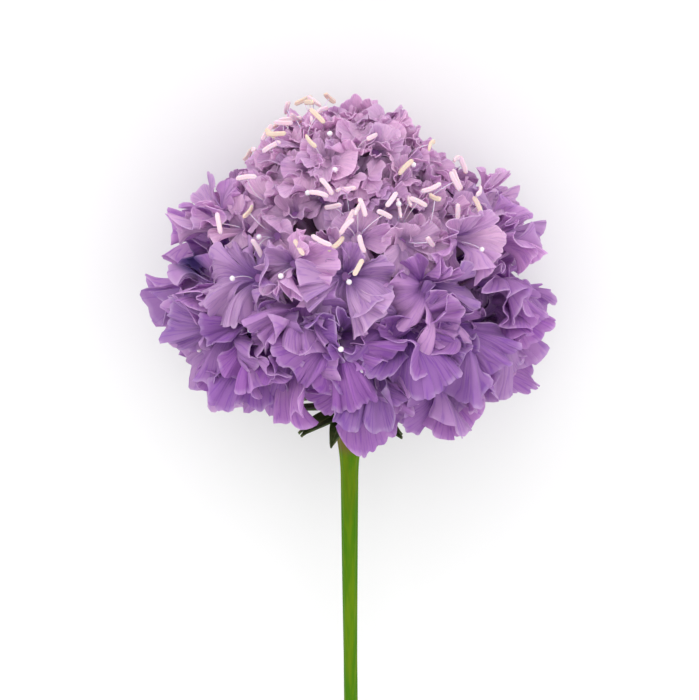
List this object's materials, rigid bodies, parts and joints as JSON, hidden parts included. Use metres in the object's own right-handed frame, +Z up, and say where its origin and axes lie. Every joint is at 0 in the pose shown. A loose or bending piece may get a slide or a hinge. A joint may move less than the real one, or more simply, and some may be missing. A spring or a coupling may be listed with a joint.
{
  "type": "scabiosa flower",
  "caption": "Single cut scabiosa flower lying on its petals: a domed head of frilled lavender florets on a long bare green stem.",
  "frame": {"origin": "on the table, in the middle of the petal that is pressed flat under the bloom", "axes": "+Y along the stem to its cut end, crown of the bloom to -Y, +Z up from the table"},
  "size_m": [0.0757, 0.2991, 0.0672],
  "materials": {
    "petal": "soft matt lavender petal, paler and pinker at the crown, violet in the skirt",
    "bract": "dark green leafy bract",
    "stem": "fresh green stem with fine lengthwise ridges, olive under the bloom"
  },
  "bodies": {
    "root": {"bloom": "petal", "involucre": "bract", "stem": "stem"}
  },
  "joints": []
}
